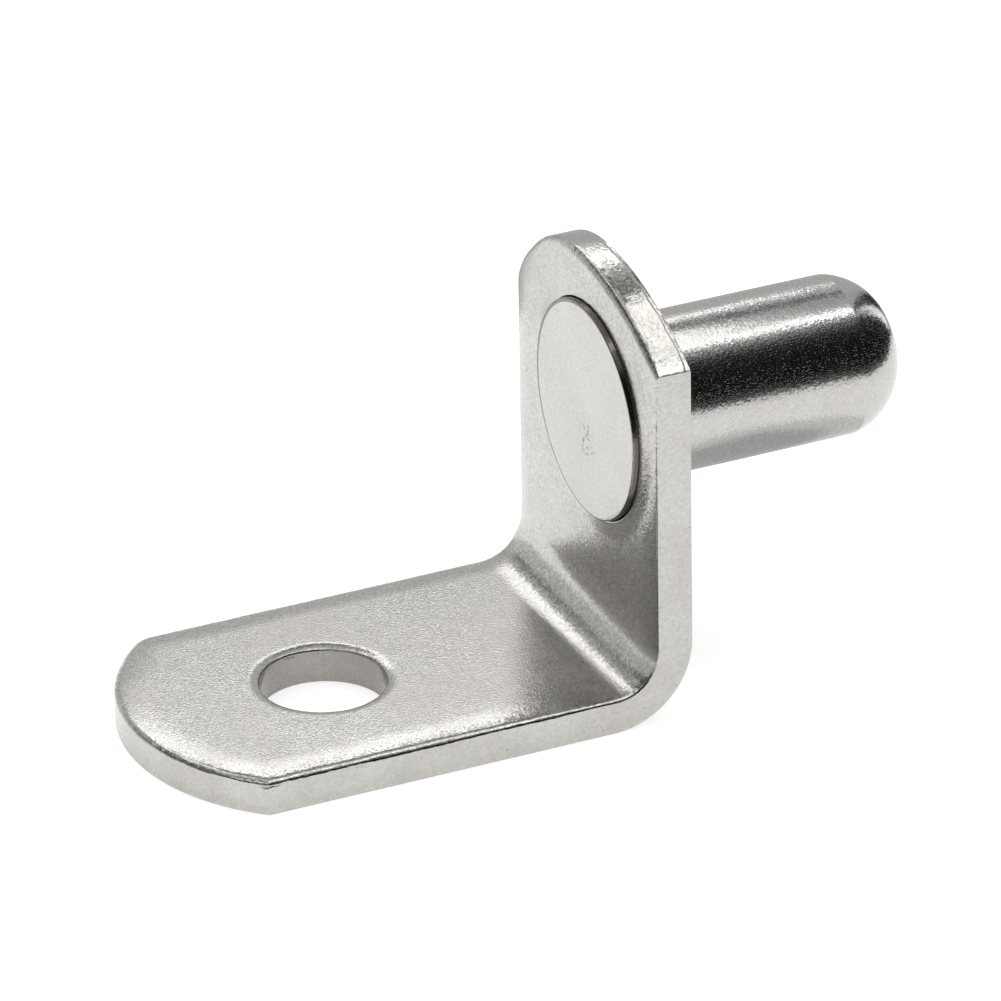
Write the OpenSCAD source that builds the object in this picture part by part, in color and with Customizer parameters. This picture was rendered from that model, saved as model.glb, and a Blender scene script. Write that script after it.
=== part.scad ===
// Shelf support pin: a blanked and bent steel bracket with a headed pin pressed through its upright.
// The origin is on the pin's axis, at the bracket's outer face, which meets the cabinet side.
// +X runs along the pin into the cabinet side, the leg runs towards -X, and +Z is up. All sizes are in mm.

/* [Strip] */
// Width of the steel strip
strip_width = 12.7; // [11.4:0.1:15]
// Thickness of the steel strip
strip_thickness = 1.5; // [1.2:0.1:1.8]
// Radius inside the bend
bend_inner_radius = 1.4; // [0.4:0.1:1.8]
// Radius outside the bend, where the steel stretches and thins
bend_outer_radius = 3.3; // [2.4:0.1:3.6]

/* [Leg] */
// Reach of the leg from the outer face to its tip
leg_length = 20.4; // [18:0.1:26]
// Radius of the leg's rounded end
leg_end_radius = 8.3; // [7.8:0.1:14]
// Diameter of the screw hole
screw_hole_diameter = 4.9; // [3:0.1:5.5]
// Distance of the screw hole from the outer face
screw_hole_distance = 12.5; // [10:0.1:13]

/* [Upright] */
// Height of the upright above the leg's underside
upright_height = 16.8; // [16.5:0.1:22]
// Radius of the crown on the +Y side of its top
crown_left_radius = 6; // [5.8:0.1:16]
// Radius of the crown on the -Y side of its top
crown_right_radius = 13.5; // [9:0.1:18]
// Distance of the crown's top from the middle of the strip
crown_shift = 0.9; // [-1:0.1:1]

/* [Pin] */
// Diameter of the hole drilled in the cabinet side
cabinet_hole_diameter = 6.35; // [5:0.05:7]
// Clearance all round between the pin and the cabinet's hole
cabinet_hole_clearance = 0.05; // [0.05:0.05:0.2]
// Reach of the pin from the bracket's outer face
pin_reach = 10.8; // [8:0.1:16]
// Height of the pin's axis above the leg's underside
pin_height = 10.9; // [9.5:0.1:11.2]
// Distance of the strip's middle from the pin's axis
strip_offset = 0.8; // [-0.8:0.1:0.8]
// Length of the pin's rounded nose
nose_length = 2.1; // [1.5:0.1:2.4]
// Radius of the nose's side profile
nose_radius = 2.6; // [2.4:0.1:3.4]
// Diameter of the flat on the nose's end
nose_flat_diameter = 1.8; // [1.4:0.1:3]
// Width of the head's flange beyond the seat
head_flange = 1; // [0.8:0.1:1.2]
// Height of the head above the upright's inner face
head_thickness = 0.35; // [0.3:0.05:0.6]
// Width of the bevel round the head
head_bevel = 0.08; // [0.02:0.02:0.2]
// Extra radius of the pressed seat under the head
seat_swell = 0.2; // [0.2:0.05:0.4]
// Clearance all round between the seat and the bracket's hole
seat_clearance = 0; // [0:0.01:0.05]

/* [Blanking] */
// Depth of the rolled edge that the blanking die leaves on the inner faces
edge_roll_depth = 0.2; // [0.1:0.02:0.24]
// Width of that rolled edge
edge_roll_width = 1.2; // [0.8:0.1:1.3]
// Depth of the rolled edge round the screw hole
hole_roll_depth = 0.12; // [0.06:0.02:0.2]
// Width of the rolled edge round the screw hole
hole_roll_width = 0.4; // [0.3:0.1:0.8]
// Slope at which a rolled edge runs out into the face, in degrees
roll_crest_angle = 3; // [2:0.5:4]

/* [Hidden] */
$fn = 96;
half_width = strip_width / 2;
pin_radius = cabinet_hole_diameter / 2 - cabinet_hole_clearance;
seat_radius = pin_radius + seat_swell;
head_radius = seat_radius + head_flange;
left_radius = max(crown_left_radius, half_width - crown_shift);
right_radius = max(crown_right_radius, half_width + crown_shift);
past = 1; // how far a cutter runs past the steel
// The arc of the nose runs from the peg's side to the rim of its end flat
nose_flat_radius = nose_flat_diameter / 2;
nose_width = pin_radius - nose_flat_radius;
nose_chord = norm([nose_width, nose_length]);
nose_sagitta_ratio = sqrt(nose_radius * nose_radius / (nose_chord * nose_chord) - 0.25);
nose_centre_r = pin_radius - nose_width / 2 - nose_length * nose_sagitta_ratio;
nose_centre_x = pin_reach - nose_length / 2 - nose_width * nose_sagitta_ratio;

// Section of the waste beside a rolled edge: the steel lies at x > 0 and y < 0 before it is rolled.
module roll_section(depth, width, above = past) {
    chord = norm([width, depth]);
    half_arc = atan2(depth, width) - roll_crest_angle;
    radius = chord / (2 * sin(half_arc));
    crest = width + radius * sin(roll_crest_angle);
    difference() {
        translate([-past, -past])
            square([crest + past, past + above]);
        translate([crest, -radius * cos(roll_crest_angle)])
            circle(radius, $fn = 240);
    }
}

// Side view of the bent strip, with the leg's underside at y = 0 and the outer face at x = 0.
module bend_profile() {
    hollow = strip_thickness + bend_inner_radius;
    difference() {
        union() {
            translate([-leg_length, bend_outer_radius])
                square([leg_length, upright_height - bend_outer_radius]);
            translate([-leg_length, 0])
                square([leg_length - bend_outer_radius, upright_height]);
            translate([-bend_outer_radius, bend_outer_radius])
                circle(bend_outer_radius);
        }
        translate([-leg_length - past, strip_thickness])
            square([leg_length + past - hollow, upright_height]);
        translate([-leg_length - past, hollow])
            square([leg_length + past - strip_thickness, upright_height]);
        translate([-hollow, hollow])
            circle(bend_inner_radius);
    }
}

// Half of a crowned end, from its tip at the origin, on the +y side.
module half_end_outline(radius, length) {
    intersection() {
        translate([radius, 0])
            circle(radius);
        square([radius, strip_width]);
    }
    translate([radius, 0])
        square([length, strip_width]);
}

// Outline of a crowned end that reaches to x = -length, with its tip shifted to the +y side.
module end_outline(length, left, right, shift) {
    translate([-length, shift]) {
        half_end_outline(left, length);
        mirror([0, 1])
            half_end_outline(right, length);
    }
}

// Waste beside half of a crowned end, from its tip at the origin, on the +Y side of the face z = 0.
module half_end_roll(radius) {
    translate([radius, 0, 0])
        rotate([0, 0, 90])
            rotate_extrude(angle = 90)
                translate([radius, 0])
                    mirror([1, 0])
                        roll_section(edge_roll_depth, edge_roll_width);
}

// Waste beside a crowned end that reaches to x = -length.
module end_roll(length, left, right, shift) {
    translate([-length, shift, 0]) {
        half_end_roll(left);
        mirror([0, 1, 0])
            half_end_roll(right);
    }
}

// Waste beside both long edges of a straight run of strip, from x = 0 to x = -length.
module side_rolls(length) {
    for (side = [0, 1])
        mirror([0, side, 0])
            translate([0, half_width, 0])
                rotate([90, 0, -90])
                    linear_extrude(length)
                        roll_section(edge_roll_depth, edge_roll_width);
}

// Waste beside both edges inside the bend, round the bend's axis.
module bend_rolls() {
    for (side = [0, 1])
        mirror([0, side, 0])
            rotate([90, 0, 0])
                rotate([0, 0, -90])
                    rotate_extrude(angle = 90)
                        translate([bend_inner_radius, half_width])
                            mirror([1, 1])
                                roll_section(edge_roll_depth, edge_roll_width, bend_inner_radius / 2);
}

// Waste beside the edges of one arm of the bracket, on its inner face.
module arm_rolls(length, left, right, shift) {
    translate([0, 0, strip_thickness]) {
        end_roll(length, left, right, shift);
        translate([-strip_thickness - bend_inner_radius, 0, 0])
            side_rolls(length);
    }
}

// Room for one arm of the bracket, as high as the other arm is long.
module arm_room(length, left, right, shift, height) {
    translate([0, 0, -past])
        linear_extrude(height + 2 * past)
            end_outline(length, left, right, shift);
}

// Lays an arm drawn along -X up the +Z axis, inner face to inner face.
module stand_up() {
    mirror([1, 0, 1])
        children();
}

// The bent strip with its crowned ends, before its edges are rolled and its holes are punched.
module bent_blank() {
    intersection() {
        translate([0, half_width, 0])
            rotate([90, 0, 0])
                linear_extrude(strip_width)
                    bend_profile();
        arm_room(leg_length, leg_end_radius, leg_end_radius, 0, upright_height);
        stand_up()
            arm_room(upright_height, left_radius, right_radius, crown_shift, leg_length);
    }
}

// Screw hole through the leg, with the edge that the punch rolls in.
module screw_hole() {
    translate([-screw_hole_distance, 0, -past])
        cylinder(d = screw_hole_diameter, h = strip_thickness + 2 * past);
    translate([-screw_hole_distance, 0, strip_thickness])
        rotate_extrude()
            intersection() {
                translate([screw_hole_diameter / 2, 0])
                    roll_section(hole_roll_depth, hole_roll_width);
                translate([0, -past])
                    square([screw_hole_diameter, 2 * past]);
            }
}

// Hole in the upright that the pin's seat fills.
module seat_hole() {
    translate([-strip_thickness - past, -strip_offset, pin_height])
        rotate([0, 90, 0])
            cylinder(r = seat_radius + seat_clearance, h = strip_thickness + 2 * past);
}

// Bracket: the blanked, punched and bent strip.
module bracket() {
    color("silver")
        translate([0, strip_offset, -pin_height])
            difference() {
                bent_blank();
                arm_rolls(leg_length, leg_end_radius, leg_end_radius, 0);
                stand_up()
                    arm_rolls(upright_height, left_radius, right_radius, crown_shift);
                translate([-strip_thickness - bend_inner_radius, 0, strip_thickness + bend_inner_radius])
                    bend_rolls();
                screw_hole();
                seat_hole();
            }
}

// Half section of the head and its seat, with the pin's axis along y and the bracket's outer face at y = 0.
module head_section() {
    head_y = -strip_thickness - head_thickness;
    polygon([
        [0, head_y],
        [head_radius - head_bevel, head_y],
        [head_radius, head_y + head_bevel],
        [head_radius, -strip_thickness],
        [seat_radius, -strip_thickness],
        [seat_radius, 0],
        [0, 0]
    ]);
}

// Half section of the peg with its rounded nose, drawn as the head's.
module peg_section() {
    intersection() {
        translate([0, -strip_thickness])
            square([pin_radius, strip_thickness + pin_reach]);
        union() {
            translate([0, -strip_thickness - past])
                square([pin_radius + past, nose_centre_x + strip_thickness + past]);
            square([max(nose_centre_r, nose_flat_radius / 2), pin_reach + past]);
            translate([nose_centre_r, nose_centre_x])
                circle(nose_radius);
        }
    }
}

// Pin: the head lies on the upright's inner face, the seat fills its hole and the peg stands out beyond it.
module pin() {
    color("gainsboro")
        rotate([0, 90, 0])
            rotate_extrude() {
                head_section();
                peg_section();
            }
}

bracket();
pin();
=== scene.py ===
"""Looks of the shelf support pin: a stamped bracket and its headed pin, nickel plated, in a small studio."""

import logging
import math
from abc import ABC, abstractmethod
from collections.abc import Callable, Mapping, Sequence
from dataclasses import dataclass, field
from enum import Enum
from typing import Any, Union

import bmesh
import bpy
import numpy as np
from mathutils import Matrix, Vector
from mathutils.geometry import delaunay_2d_cdt


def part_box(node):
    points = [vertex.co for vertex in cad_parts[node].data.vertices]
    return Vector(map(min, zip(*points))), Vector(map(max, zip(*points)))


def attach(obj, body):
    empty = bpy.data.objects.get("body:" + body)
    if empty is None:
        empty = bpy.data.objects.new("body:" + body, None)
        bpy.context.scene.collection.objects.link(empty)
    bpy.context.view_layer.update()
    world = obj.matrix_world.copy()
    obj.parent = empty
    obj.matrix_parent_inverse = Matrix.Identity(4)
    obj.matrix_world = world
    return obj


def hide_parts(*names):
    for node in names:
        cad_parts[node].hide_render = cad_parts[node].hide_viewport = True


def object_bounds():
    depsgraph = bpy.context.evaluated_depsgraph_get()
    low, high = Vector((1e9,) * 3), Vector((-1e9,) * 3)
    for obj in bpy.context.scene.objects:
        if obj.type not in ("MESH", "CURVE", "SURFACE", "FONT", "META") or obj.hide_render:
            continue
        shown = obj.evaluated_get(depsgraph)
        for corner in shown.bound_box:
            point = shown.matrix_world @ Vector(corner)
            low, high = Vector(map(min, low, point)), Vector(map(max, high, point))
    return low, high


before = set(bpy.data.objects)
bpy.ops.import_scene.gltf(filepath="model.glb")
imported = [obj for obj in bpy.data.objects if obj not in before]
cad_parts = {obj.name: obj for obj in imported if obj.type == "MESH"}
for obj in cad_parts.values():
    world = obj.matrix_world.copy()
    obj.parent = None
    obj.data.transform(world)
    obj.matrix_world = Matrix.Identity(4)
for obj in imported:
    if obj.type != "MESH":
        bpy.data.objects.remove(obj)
CAD_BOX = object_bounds()

LOG = logging.getLogger("shelf_support_pin")
MM = 0.001
HALF_TURN = math.pi
RIGHT_ANGLE = math.pi / 2

Operand = Union["Signal", float]
Colour = tuple[float, float, float]
Place = tuple[float, float, float]
Spot = tuple[float, float]


class Cad(Enum):
    """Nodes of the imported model."""

    BRACKET = "bracket"
    PIN = "pin"


class Slot(Enum):
    """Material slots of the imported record."""

    BRACKET = "bracket_plating"
    PIN = "pin_plating"


class Cut(Enum):
    """Multipliers that leave only the distance from an axis."""

    ROUND_X = (0.0, 1.0, 1.0)
    ROUND_Z = (1.0, 1.0, 0.0)


class Lay(Enum):
    """Direction of the fine lines that brushing leaves, as a stretch of the pattern along X, Y and Z."""

    ALONG_X = (0.06, 1.0, 1.0)
    ALONG_Z = (1.0, 1.0, 0.06)


# -----------------------------------------------------------------------------
# Shared sizes and places, in millimetres
# -----------------------------------------------------------------------------

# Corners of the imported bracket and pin, which are in metres.
BRACKET_LOW, BRACKET_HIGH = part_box(Cad.BRACKET.value)
PIN_LOW, PIN_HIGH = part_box(Cad.PIN.value)
STRIP_THICKNESS = 1.5
SCREW_RADIUS = 2.45
SCREW_DISTANCE = 12.5
SCREW_AXIS = (BRACKET_HIGH.x / MM - SCREW_DISTANCE, (BRACKET_HIGH.y + BRACKET_LOW.y) / 2 / MM, 0.0)
HEAD_RADIUS = (PIN_HIGH.z - PIN_LOW.z) / 2 / MM
PIN_AXIS = tuple((low + high) / 2 / MM for low, high in zip(PIN_LOW, PIN_HIGH))
SEAM_AXIS = (-STRIP_THICKNESS, PIN_AXIS[1], PIN_AXIS[2])
# The painted shade on the pin's head sits off the pin's axis, so that it is wider on the head's +Y side.
HEAD_SHADE_AXIS = (PIN_AXIS[0], PIN_AXIS[1] - 0.085, PIN_AXIS[2] - 0.012)
# Where the painted shade round the pin's head begins, from the pin's axis.
HEAD_SHADE_START = HEAD_RADIUS - 0.1
KNOCKED_SPOT = (PIN_LOW.x / MM, PIN_AXIS[1] - 0.1, PIN_AXIS[2] - 1.2)


# -----------------------------------------------------------------------------
# Node trees
# -----------------------------------------------------------------------------


class Signal:
    """One value in a node tree. Arithmetic on it adds Math nodes to its tree."""

    def __init__(self, desk: "Desk", socket: bpy.types.NodeSocket) -> None:
        """Wraps an output socket of a desk's tree."""
        self.desk = desk
        self.socket = socket

    def __add__(self, other: Operand) -> "Signal":
        """Sum."""
        return self.desk.maths("ADD", self, other)

    __radd__ = __add__

    def __sub__(self, other: Operand) -> "Signal":
        """Difference."""
        return self.desk.maths("SUBTRACT", self, other)

    def __rsub__(self, other: Operand) -> "Signal":
        """Difference, with this value taken away."""
        return self.desk.maths("SUBTRACT", other, self)

    def __mul__(self, other: Operand) -> "Signal":
        """Product."""
        return self.desk.maths("MULTIPLY", self, other)

    __rmul__ = __mul__

    def __truediv__(self, other: Operand) -> "Signal":
        """Quotient."""
        return self.desk.maths("DIVIDE", self, other)

    def above(self, floor: float) -> "Signal":
        """The larger of the value and a number."""
        return self.desk.maths("MAXIMUM", self, floor)

    def below(self, ceiling: float) -> "Signal":
        """The smaller of the value and a number."""
        return self.desk.maths("MINIMUM", self, ceiling)

    def sine(self) -> "Signal":
        """Sine of the value in radians."""
        return self.desk.maths("SINE", self)

    def cosine(self) -> "Signal":
        """Cosine of the value in radians."""
        return self.desk.maths("COSINE", self)

    def ramp(self, start: float, end: float) -> "Signal":
        """Smooth step of the value, from 0 at the start to 1 at the end."""
        span = {"Value": self, "From Min": start, "From Max": end}
        return self.desk.signal(self.desk.node("ShaderNodeMapRange", span, interpolation_type="SMOOTHSTEP"))


class Desk:
    """Lays out nodes in one tree."""

    def __init__(self, tree: bpy.types.NodeTree) -> None:
        """Starts on a shader or geometry tree."""
        self.tree = tree

    def node(
        self, kind: str, inputs: Mapping[str | int, Any] | None = None, **settings: Any
    ) -> bpy.types.Node:
        """Adds a node.

        Args:
            kind: The node's type name.
            inputs: Value, signal or socket for each input, by name or place.
            settings: Properties of the node, set before its inputs.

        Returns:
            The new node.
        """
        made = self.tree.nodes.new(kind)
        for name, value in settings.items():
            setattr(made, name, value)
        for name, value in (inputs or {}).items():
            self.feed(made.inputs[name], value)
        return made

    def feed(self, socket: bpy.types.NodeSocket, value: Any) -> None:
        """Links a signal or socket to an input, or sets the input's own value.

        Args:
            socket: The input.
            value: A signal, an output socket, or a plain value.
        """
        source = value.socket if isinstance(value, Signal) else value
        if isinstance(source, bpy.types.NodeSocket):
            self.tree.links.new(source, socket)
        else:
            socket.default_value = source

    def signal(self, node: bpy.types.Node, output: str | int = 0) -> Signal:
        """One output of a node, as a signal."""
        return Signal(self, node.outputs[output])

    def maths(self, operation: str, *operands: Operand) -> Signal:
        """Result of a Math node on the operands."""
        return self.signal(self.node("ShaderNodeMath", dict(enumerate(operands)), operation=operation))

    def vector(self, operation: str, *operands: Any) -> Signal:
        """Result of a Vector Math node on the operands, which is a number for a length or a dot product."""
        node = self.node("ShaderNodeVectorMath", dict(enumerate(operands)), operation=operation)
        return self.signal(node, "Value" if operation in ("LENGTH", "DOT_PRODUCT") else "Vector")

    def blend(self, share: Operand, first: Any, second: Any) -> Signal:
        """Mix of two colours, each a signal or four numbers, by the share of the second."""
        node = self.node("ShaderNodeMix", {0: share, 6: first, 7: second}, data_type="RGBA")
        return self.signal(node, 2)


def cleared_desk(owner: bpy.types.Material | bpy.types.World) -> Desk:
    """Starts on the emptied tree of a material or a world.

    Args:
        owner: The material or world.

    Returns:
        The desk of its tree.
    """
    owner.use_nodes = True
    owner.node_tree.nodes.clear()
    return Desk(owner.node_tree)


def grey(value: float) -> tuple[float, float, float, float]:
    """Grey of a given brightness, with full alpha."""
    return (value, value, value, 1.0)


# -----------------------------------------------------------------------------
# Finishes
# -----------------------------------------------------------------------------


@dataclass(frozen=True)
class Grain:
    """Fine relief in a plated surface."""

    size: float
    """Width of its bumps in millimetres."""
    height: float
    """Their height in thousandths of a millimetre."""
    detail: float = 1.0
    """Octaves of finer relief on top."""
    falloff: float = 0.55
    """Share of its height that each of those keeps of the one before."""

    def field(self, where: Signal) -> Signal:
        """Height of the relief at a place in millimetres, in thousandths of a millimetre."""
        form = {"Vector": where, "Scale": 1 / self.size, "Detail": self.detail, "Roughness": self.falloff}
        return (where.desk.signal(where.desk.node("ShaderNodeTexNoise", form)) - 0.5) * (2 * self.height)


@dataclass(frozen=True)
class Facets:
    """Small crystals of the plating, each with its face turned its own way."""

    size: float
    """Width of a crystal in millimetres."""
    tilt: float
    """Greatest rise of its face, in thousandths of its width."""
    dulling: float
    """Share by which the dullest crystals are darker."""

    def field(self, where: Signal) -> tuple[Signal, Signal]:
        """Their relief and dullness.

        Args:
            where: Place on the piece, in millimetres.

        Returns:
            Height of the relief, in thousandths of a millimetre, and the share by which each place is darker.
        """
        desk = where.desk
        cells = desk.node("ShaderNodeTexVoronoi", {"Vector": where, "Scale": 1 / self.size})
        off = desk.vector("SUBTRACT", where, desk.signal(cells, "Position"))
        lean = desk.vector("SUBTRACT", desk.signal(cells, "Color"), (0.5, 0.5, 0.5))
        height = desk.vector("DOT_PRODUCT", off, lean)
        dull = desk.vector("DOT_PRODUCT", desk.signal(cells, "Color"), (0.5, 0.5, 0.0))
        return height * (2 * self.tilt), dull * self.dulling


@dataclass(frozen=True)
class PaintedShade:
    """Painted shade: a darker band of colour in a seam round an axis along X, or in a hole along Z, where
    shade falls.
    """

    axis: Cut
    centre: Place
    """A point of the axis, in millimetres in the shared frame."""
    start: float
    # Distance from the axis where the painted shade begins, in millimetres.
    """Distance from the axis where the film begins, in millimetres."""
    end: float
    share: float
    softness: float = 0.03
    depth: float = 100.0
    """How far it goes from that point along the axis, either way."""
    fade: float = 0.1
    """Distance over which it ends there."""

    def mask(self, where: Signal) -> Signal:
        """Share of the painted shade at each place.

        Args:
            where: Place on the piece, in millimetres.

        Returns:
            The share, from 0 to 1.
        """
        desk = where.desk
        off = desk.vector("SUBTRACT", where, self.centre)
        flat = desk.vector("MULTIPLY", off, self.axis.value)
        away = desk.vector("LENGTH", flat)
        along = desk.vector("LENGTH", desk.vector("SUBTRACT", off, flat))
        near = 1 - along.ramp(self.depth, self.depth + self.fade)
        inside = away.ramp(self.start - self.softness, self.start) * near
        return inside * (1 - away.ramp(self.end, self.end + self.softness)) * self.share


@dataclass(frozen=True)
class Scuff:
    """Patch of small knocks."""

    centre: Place
    reach: float
    """Distance from its middle at which the knocks end, in millimetres."""
    knocks: Grain
    threshold: float = 0.08
    """Share of the knocks' height that is left out, so that flat metal stays between them."""
    core: float = 0.3
    """Share of the reach within which they have their full depth."""

    def field(self, where: Signal) -> Signal:
        """The knocks.

        Args:
            where: Place on the piece, in millimetres.

        Returns:
            Their depth, in thousandths of a millimetre.
        """
        desk = where.desk
        away = desk.vector("LENGTH", desk.vector("SUBTRACT", where, self.centre))
        deep = (self.knocks.field(where) - self.knocks.height * self.threshold).above(0.0)
        return deep * (1 - away.ramp(self.reach * self.core, self.reach))


class Finish(ABC):
    """Look of a surface. Each kind says what light does there."""

    name: str

    def material(self) -> bpy.types.Material:
        """Builds the material.

        Returns:
            The new material.
        """
        made = bpy.data.materials.new(self.name)
        desk = cleared_desk(made)
        desk.node("ShaderNodeOutputMaterial", {"Surface": self.surface(desk)})
        return made

    @abstractmethod
    def surface(self, desk: Desk) -> bpy.types.NodeSocket:
        """Lays out the shader in the material's tree, and returns its output socket."""


@dataclass(frozen=True)
class Plating(Finish):
    """Nickel plating over steel, with the relief of the metal under it."""

    name: str
    tint: Colour
    shade: Colour
    roughness: float
    unevenness: float
    grain: Grain
    facets: Facets
    waves: Grain
    lines: Grain
    lay: Lay
    pit_share: float
    """Share of the surface's small cells that hold a pit."""
    pit_size: float
    """Spacing of those cells in millimetres."""
    pit_depth: float
    """Depth of a pit in thousandths of a millimetre."""
    # Bands of painted shade: darker colour where shade falls in seams and holes.
    painted_shade: tuple[PaintedShade, ...] = ()
    scuffs: tuple[Scuff, ...] = ()
    # Colour of that painted shade.
    painted_shade_colour: Colour = (0.13, 0.115, 0.10)
    cloud_tone: float = 0.6
    """Share of the shade in the darkest cloud."""
    speck_tone: float = 0.8
    """Its share in a speck."""
    speck_dulling: float = 0.25
    """What a speck adds to the roughness."""

    def surface(self, desk: Desk) -> bpy.types.NodeSocket:
        """Lays out the plating.

        Args:
            desk: The desk of the material's tree.

        Returns:
            The shader's output socket.
        """
        place = desk.signal(desk.node("ShaderNodeTexCoord"), "Object")
        where = desk.vector("MULTIPLY", place, (1 / MM,) * 3)
        pits, speck = self.pits(where)
        brushed = self.lines.field(desk.vector("MULTIPLY", where, self.lay.value))
        crystals, dull = self.facets.field(where)
        relief = self.grain.field(where) + self.waves.field(where) + brushed + crystals
        for scuff in self.scuffs:
            relief = relief - scuff.field(where)
        height = relief - pits * self.pit_depth
        bump = desk.node("ShaderNodeBump", {"Strength": 1.0, "Distance": MM * MM, "Height": height})
        cloud = self.cloud(where)
        tone = cloud * self.cloud_tone + speck * self.speck_tone
        colour = desk.blend(dull, desk.blend(tone, (*self.tint, 1.0), (*self.shade, 1.0)), grey(0.0))
        # Painted shade: the colour is darkened in the seams and holes where shade falls.
        for shade_band in self.painted_shade:
            colour = desk.blend(shade_band.mask(where), colour, (*self.painted_shade_colour, 1.0))
        dullness = (cloud - 0.5) * (2 * self.unevenness) + speck * self.speck_dulling + self.roughness
        look = {"Base Color": colour, "Metallic": 1.0, "Roughness": dullness, "Normal": bump.outputs[0]}
        return desk.node("ShaderNodeBsdfPrincipled", look).outputs["BSDF"]

    def cloud(self, where: Signal) -> Signal:
        """Share of the darker, duller plating at a place, from slow changes of its thickness."""
        noise = where.desk.node("ShaderNodeTexNoise", {"Vector": where, "Scale": 0.35, "Detail": 3.0})
        return where.desk.signal(noise).ramp(0.3, 0.7)

    def pits(self, where: Signal) -> tuple[Signal, Signal]:
        """Pits and specks, scattered one to a cell.

        Args:
            where: Place on the piece, in millimetres.

        Returns:
            Depth of the pits and the share of dark speck, each from 0 to 1.
        """
        desk = where.desk
        cells = desk.node("ShaderNodeTexVoronoi", {"Vector": where, "Scale": 1 / self.pit_size})
        chosen = desk.vector("DOT_PRODUCT", desk.signal(cells, "Color"), (1.0, 0.0, 0.0))
        present = desk.maths("LESS_THAN", chosen, self.pit_share)
        near = 1 - desk.signal(cells, "Distance").ramp(0.12, 0.34)
        return near * present, (near * near) * present


@dataclass(frozen=True)
class FloorPaint(Finish):
    """White floor that still shows the object's shadow."""

    name: str = "white_floor"
    white: float = 0.85
    mottling: float = 0.01
    """How much darker its darkest specks are."""
    glow: float = 0.56
    """Light that it gives off by itself where it is seen, so that its open part looks white."""

    def surface(self, desk: Desk) -> bpy.types.NodeSocket:
        """Lays out the floor's paper and its glow.

        Args:
            desk: The desk of the material's tree.

        Returns:
            The shader's output socket.
        """
        place = desk.signal(desk.node("ShaderNodeTexCoord"), "Object")
        weave = desk.node("ShaderNodeTexNoise", {"Vector": place, "Scale": 400.0, "Detail": 2.0})
        paper = desk.blend(desk.signal(weave), grey(self.white), grey(self.white - self.mottling))
        diffuse = desk.node("ShaderNodeBsdfDiffuse", {"Color": paper})
        path = desk.node("ShaderNodeLightPath")
        seen = desk.signal(path, "Is Camera Ray") + desk.signal(path, "Is Glossy Ray")
        seen = (seen + desk.signal(path, "Is Transmission Ray")).below(1.0)
        glow = desk.node("ShaderNodeEmission", {"Color": grey(1.0), "Strength": seen * self.glow})
        both = desk.node("ShaderNodeAddShader", {0: diffuse.outputs[0], 1: glow.outputs[0]})
        return both.outputs[0]


@dataclass(frozen=True)
class CardPaint(Finish):
    """Card that looks equally bright from everywhere, so that the metal mirrors one even grey."""

    name: str
    shade: float

    def surface(self, desk: Desk) -> bpy.types.NodeSocket:
        """Lays out the card's even glow in the material's tree, and returns the shader's output socket."""
        glow = desk.node("ShaderNodeEmission", {"Color": grey(self.shade), "Strength": 1.0})
        return glow.outputs[0]


BRACKET_FACE = Plating(
    name="bracket_face_plating",
    tint=(0.63, 0.612, 0.586),
    shade=(0.585, 0.565, 0.535),
    roughness=0.22,
    unevenness=0.03,
    grain=Grain(0.1, 3.0),
    facets=Facets(0.09, 25.0, 0.3),
    waves=Grain(1.6, 2.0),
    lines=Grain(0.07, 0.8),
    lay=Lay.ALONG_Z,
    pit_share=0.004,
    pit_size=0.3,
    pit_depth=4.0,
    # Painted shade in a ring under and just round the pin's head, where it meets the plate.
    painted_shade=(
        PaintedShade(
            Cut.ROUND_X, SEAM_AXIS, HEAD_SHADE_START, end=HEAD_RADIUS + 0.045, share=0.9, softness=0.015, depth=0.5
        ),
    ),
)
BRACKET_EDGE = Plating(
    name="bracket_edge_plating",
    tint=(0.58, 0.565, 0.535),
    shade=(0.49, 0.47, 0.445),
    roughness=0.17,
    unevenness=0.04,
    grain=Grain(0.16, 3.0),
    facets=Facets(0.12, 22.0, 0.14),
    waves=Grain(0.9, 8.0),
    lines=Grain(0.1, 0.7),
    lay=Lay.ALONG_Z,
    pit_share=0.03,
    pit_size=0.25,
    pit_depth=6.0,
    # Painted shade on the sheared wall inside the screw hole.
    painted_shade=(PaintedShade(Cut.ROUND_Z, SCREW_AXIS, 0.0, end=SCREW_RADIUS + 0.02, share=0.5),),
)
PIN_SKIN = Plating(
    name="pin_plating",
    tint=(0.59, 0.575, 0.557),
    shade=(0.55, 0.53, 0.512),
    roughness=0.18,
    unevenness=0.03,
    grain=Grain(0.12, 3.0),
    facets=Facets(0.08, 26.0, 0.16),
    waves=Grain(1.1, 4.0),
    lines=Grain(0.1, 0.15),
    lay=Lay.ALONG_X,
    pit_share=0.004,
    pit_size=0.2,
    pit_depth=3.0,
    # Painted shade on the rim and side of the pin's head, where it meets the plate.
    painted_shade=(PaintedShade(Cut.ROUND_X, HEAD_SHADE_AXIS, HEAD_SHADE_START, end=HEAD_RADIUS + 0.2, share=0.85, softness=0.015),),
    scuffs=(Scuff(KNOCKED_SPOT, 1.1, Grain(0.22, 130.0)),),
)


# -----------------------------------------------------------------------------
# Edges of the blank
# -----------------------------------------------------------------------------


def rise(value: np.ndarray, start: float, span: float) -> np.ndarray:
    """Straight climb from 0 at the start to 1 a span further on."""
    return np.clip((value - start) / span, 0, 1)


def smooth(share: np.ndarray) -> np.ndarray:
    """Smooth step of a share from 0 to 1."""
    return share * share * (3 - 2 * share)


def off_circle(plan: np.ndarray, centre: Spot, radius: float) -> np.ndarray:
    """Distance of places in the blank from a circle, less than 0 inside it."""
    return np.hypot(*(plan - centre).T) - radius


def lattice(x: np.ndarray, y: np.ndarray) -> np.ndarray:
    """Places in the blank at every pairing of the given coordinates."""
    return np.stack(np.meshgrid(x, y), -1).reshape(-1, 2)


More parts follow.
